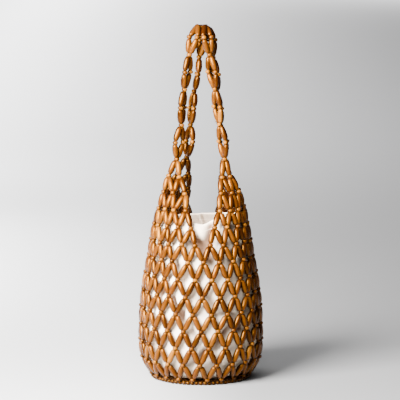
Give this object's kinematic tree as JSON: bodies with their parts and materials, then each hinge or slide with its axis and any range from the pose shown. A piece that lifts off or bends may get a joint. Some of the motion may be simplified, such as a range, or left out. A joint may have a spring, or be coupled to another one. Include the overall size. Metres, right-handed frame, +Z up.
{
  "type": "wooden bead net bucket bag",
  "caption": "Bucket bag: a diamond net of wooden spindle beads over an off-white cloth liner, open at the top, with two bead-chain handles standing up.",
  "frame": {"origin": "middle of the round base, on the surface that the bag stands on", "axes": "+Z up to the handles, -Y to the front with the opening seen in the picture, +X to the right seen from the front"},
  "size_m": [0.1978, 0.1974, 0.5679],
  "materials": {
    "wood_bead": "satin",
    "liner_cloth": "matte"
  },
  "bodies": {
    "root": {"base_mat": "wood_bead", "base_ring": "wood_bead", "net_front": "wood_bead", "net_back": "wood_bead", "shoulder_front_right": "wood_bead", "shoulder_back_right": "wood_bead", "shoulder_back_left": "wood_bead", "shoulder_front_left": "wood_bead", "handle_front": "wood_bead", "handle_back": "wood_bead", "liner": "liner_cloth"}
  },
  "joints": []
}
